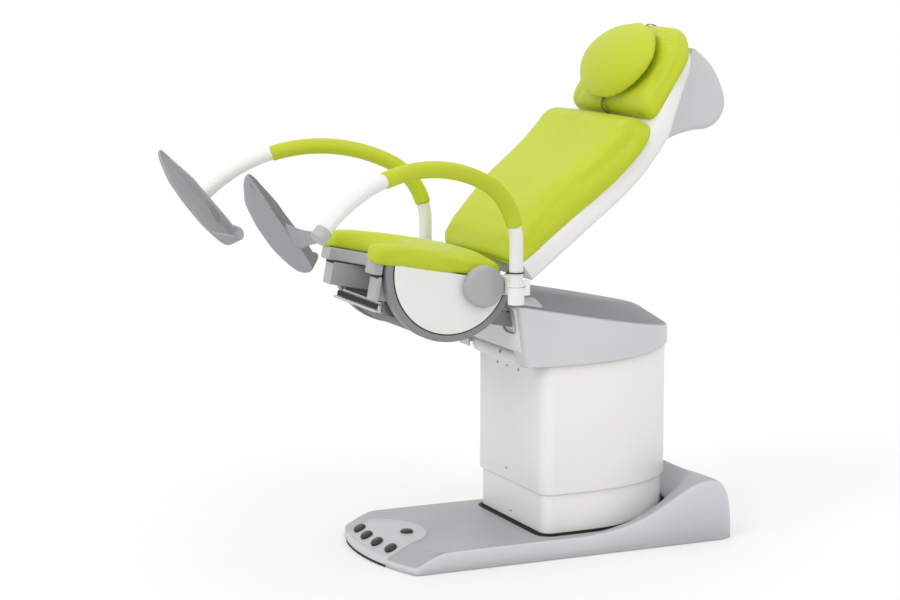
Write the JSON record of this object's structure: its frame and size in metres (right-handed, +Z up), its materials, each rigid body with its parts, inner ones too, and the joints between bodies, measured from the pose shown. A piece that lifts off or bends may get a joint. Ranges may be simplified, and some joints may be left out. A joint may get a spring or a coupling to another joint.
{
  "type": "gynecological chair",
  "caption": "Electric examination chair on a lift column, with a tilting seat, reclining backrest, curved leg supports with foot plates, head pillow, slide-out tray and foot buttons.",
  "frame": {"origin": "on the floor under the middle of the lift column's guide tubes", "axes": "+X towards the head end, +Y towards the patient's left, +Z up"},
  "size_m": [1.5353, 0.9998, 1.4827],
  "materials": {
    "base_shell": "satin moulded plastic, silver grey",
    "panel_shell": "satin moulded plastic, light grey",
    "cover_white": "smooth white powder coat",
    "plastic_white": "satin white plastic",
    "head_shell": "fine-textured grey plastic",
    "grey_plastic": "satin grey plastic",
    "button_black": "matt black rubber",
    "seal_black": "matt black rubber",
    "frame_steel": "plain steel",
    "frame_black": "black powder coat",
    "tray_steel": "brushed stainless steel",
    "tube_white": "glossy white powder coat",
    "pad_green": "smooth lime green synthetic leather over foam",
    "foot_grey": "satin grey plastic",
    "cord_black": "woven elastic cord"
  },
  "bodies": {
    "base": {"base_plate": "frame_steel", "base_cover": "base_shell", "control_panel": "panel_shell", "column_seal": "seal_black", "lower_column_cover": "cover_white", "lift_outer_tube": "frame_steel", "lift_motor": "frame_steel", "lower_cover_rivets": "frame_steel"},
    "lift": {"upper_column_cover": "cover_white", "lift_inner_tube": "frame_steel", "lift_rod": "frame_steel", "upper_cover_rivets": "frame_steel", "head_frame": "frame_steel", "head_cover": "head_shell", "head_front_panel": "grey_plastic", "slot_seals": "seal_black", "front_lip": "plastic_white", "tilt_shaft": "frame_steel", "slot_plate": "panel_shell"},
    "seat": {"seat_frame": "frame_black", "seat_rim": "grey_plastic", "side_panel_right": "plastic_white", "side_panel_left": "plastic_white", "side_rim_right": "grey_plastic", "side_rim_left": "grey_plastic", "front_block_right": "grey_plastic", "front_block_left": "grey_plastic", "drum_shell": "frame_black", "tray_rails": "frame_steel", "seat_cushion": "pad_green", "back_hinge_shaft": "frame_steel"},
    "tray": {"tray_pan": "tray_steel", "tray_front": "tray_steel"},
    "backrest": {"back_frame": "frame_steel", "back_shell": "plastic_white", "rear_cover": "grey_plastic", "back_cushion": "pad_green", "head_cushion": "pad_green", "pillow_cord": "cord_black"},
    "pillow": {"head_pillow": "pad_green"},
    "leg_right": {"pivot_cap_right": "grey_plastic", "leg_bracket_right": "plastic_white"},
    "arm_right": {"arm_tube_right": "tube_white", "arm_sleeve_right": "pad_green"},
    "foot_right": {"foot_socket_right": "foot_grey", "foot_plate_right": "foot_grey"},
    "leg_left": {"pivot_cap_left": "grey_plastic", "leg_bracket_left": "plastic_white"},
    "arm_left": {"arm_tube_left": "tube_white", "arm_sleeve_left": "pad_green"},
    "foot_left": {"foot_socket_left": "foot_grey", "foot_plate_left": "foot_grey"},
    "button_1": {"foot_button_1": "button_black"},
    "button_2": {"foot_button_2": "button_black"},
    "button_3": {"foot_button_3": "button_black"},
    "button_4": {"foot_button_4": "button_black"},
    "button_5": {"foot_button_5": "button_black"}
  },
  "joints": [
    {"name": "lift_slide", "type": "slide", "parent": "base", "child": "lift", "axis": [0, 0, 1], "range_m": [-0.1, 0.16]},
    {"name": "seat_tilt", "type": "hinge", "parent": "lift", "child": "seat", "pos_m": [-0.238, 0, 0.664], "axis": [0, 1, 0], "range_deg": [-11, 7]},
    {"name": "back_recline", "type": "hinge", "parent": "seat", "child": "backrest", "pos_m": [-0.30412, 0, 0.75966], "axis": [0, 1, 0], "range_deg": [-18, 28]},
    {"name": "pillow_slide", "type": "slide", "parent": "backrest", "child": "pillow", "axis": [0.5299, 0, 0.848], "range_m": [-0.03, 0.03]},
    {"name": "tray_slide", "type": "slide", "parent": "seat", "child": "tray", "axis": [-0.9816, 0, 0.1908], "range_m": [0, 0.18]},
    {"name": "leg_raise_right", "type": "hinge", "parent": "seat", "child": "leg_right", "pos_m": [-0.38102, -0.206, 0.77807], "axis": [0, 1, 0], "range_deg": [-14, 25]},
    {"name": "arm_swivel_right", "type": "hinge", "parent": "leg_right", "child": "arm_right", "pos_m": [-0.32192, -0.304, 0.89907], "axis": [0, 0, 1], "range_deg": [-15, 40]},
    {"name": "foot_turn_right", "type": "hinge", "parent": "arm_right", "child": "foot_right", "pos_m": [-0.95578, -0.47384, 0.97089], "axis": [-0.7018, -0.1881, -0.6871], "range_deg": [-30, 30]},
    {"name": "leg_raise_left", "type": "hinge", "parent": "seat", "child": "leg_left", "pos_m": [-0.38102, 0.206, 0.77807], "axis": [0, 1, 0], "range_deg": [-14, 25]},
    {"name": "arm_swivel_left", "type": "hinge", "parent": "leg_left", "child": "arm_left", "pos_m": [-0.32192, 0.304, 0.89907], "axis": [0, 0, -1], "range_deg": [-15, 40]},
    {"name": "foot_turn_left", "type": "hinge", "parent": "arm_left", "child": "foot_left", "pos_m": [-0.95578, 0.47384, 0.97089], "axis": [-0.7018, 0.1881, -0.6871], "range_deg": [-30, 30]},
    {"name": "button_press_1", "type": "slide", "parent": "base", "child": "button_1", "axis": [0.4375, 0, -0.8992], "range_m": [0, 0.004], "stiffness_N_per_m": 1500, "springref_m": -0.001},
    {"name": "button_press_2", "type": "slide", "parent": "base", "child": "button_2", "axis": [0.4375, 0, -0.8992], "range_m": [0, 0.004], "stiffness_N_per_m": 1500, "springref_m": -0.001},
    {"name": "button_press_3", "type": "slide", "parent": "base", "child": "button_3", "axis": [0.4375, 0, -0.8992], "range_m": [0, 0.004], "stiffness_N_per_m": 1500, "springref_m": -0.001},
    {"name": "button_press_4", "type": "slide", "parent": "base", "child": "button_4", "axis": [0.4375, 0, -0.8992], "range_m": [0, 0.004], "stiffness_N_per_m": 1500, "springref_m": -0.001},
    {"name": "button_press_5", "type": "slide", "parent": "base", "child": "button_5", "axis": [0, 0, -1], "range_m": [0, 0.004], "stiffness_N_per_m": 1500, "springref_m": -0.001}
  ]
}
